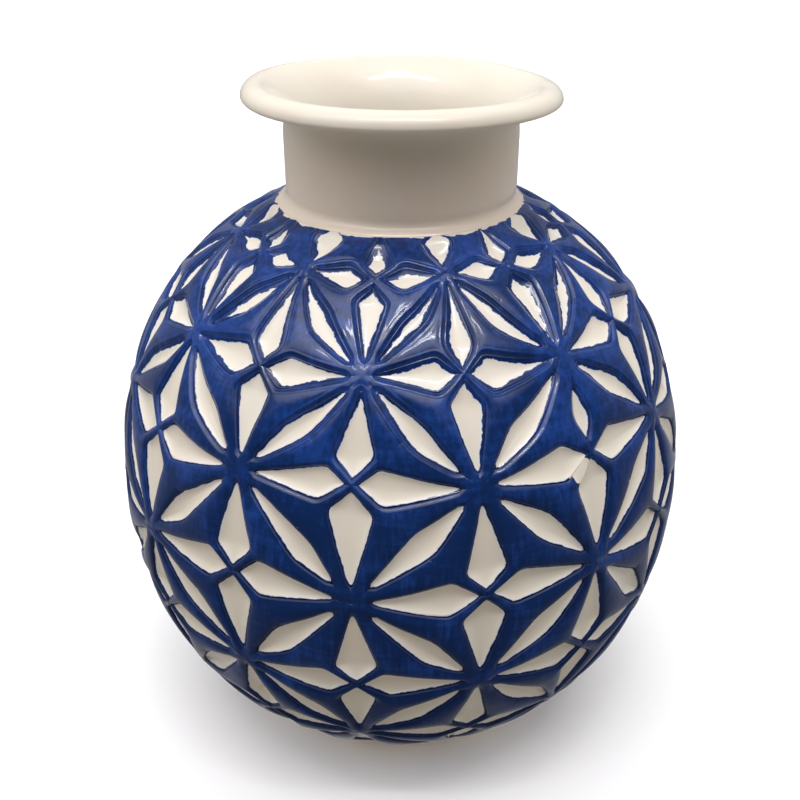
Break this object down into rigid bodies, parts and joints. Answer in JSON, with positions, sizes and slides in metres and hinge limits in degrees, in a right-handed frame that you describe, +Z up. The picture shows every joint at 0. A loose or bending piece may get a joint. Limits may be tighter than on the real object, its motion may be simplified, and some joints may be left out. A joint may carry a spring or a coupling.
{
  "type": "pottery vase",
  "caption": "Globe-shaped glazed pottery vase with a short round neck, a wide rolled lip and sunk white petals between raised cobalt lands.",
  "frame": {"origin": "centre of the foot ring's resting face", "axes": "+Z up the vase's axis towards the mouth; -Y is the side that the front view shows"},
  "size_m": [0.14, 0.14, 0.1622],
  "materials": {
    "bare_clay": "matte fired earthenware",
    "neck_white": "glossy warm white tin glaze",
    "lining_white": "glossy warm white tin glaze",
    "petal_white": "glossy warm white glaze, hand painted",
    "cobalt": "glossy cobalt blue glaze, brushed by hand"
  },
  "bodies": {
    "root": {"foot_ring": "bare_clay", "globe_wall": "bare_clay", "neck_collar": "bare_clay", "rolled_lip": "bare_clay", "neck_glaze": "neck_white", "lining_glaze": "lining_white", "cobalt_lands": "cobalt", "collar_drops": "petal_white", "kite_petals_row_1": "petal_white", "leaf_petals_row_1": "petal_white", "kite_petals_row_2": "petal_white", "leaf_petals_row_2": "petal_white", "kite_petals_row_3": "petal_white", "leaf_petals_row_3": "petal_white", "kite_petals_row_4": "petal_white", "leaf_petals_row_4": "petal_white", "kite_petals_row_5": "petal_white", "leaf_petals_row_5": "petal_white", "kite_petals_row_6": "petal_white", "leaf_petals_row_6": "petal_white", "kite_petals_row_7": "petal_white", "foot_drops": "petal_white"}
  },
  "joints": []
}
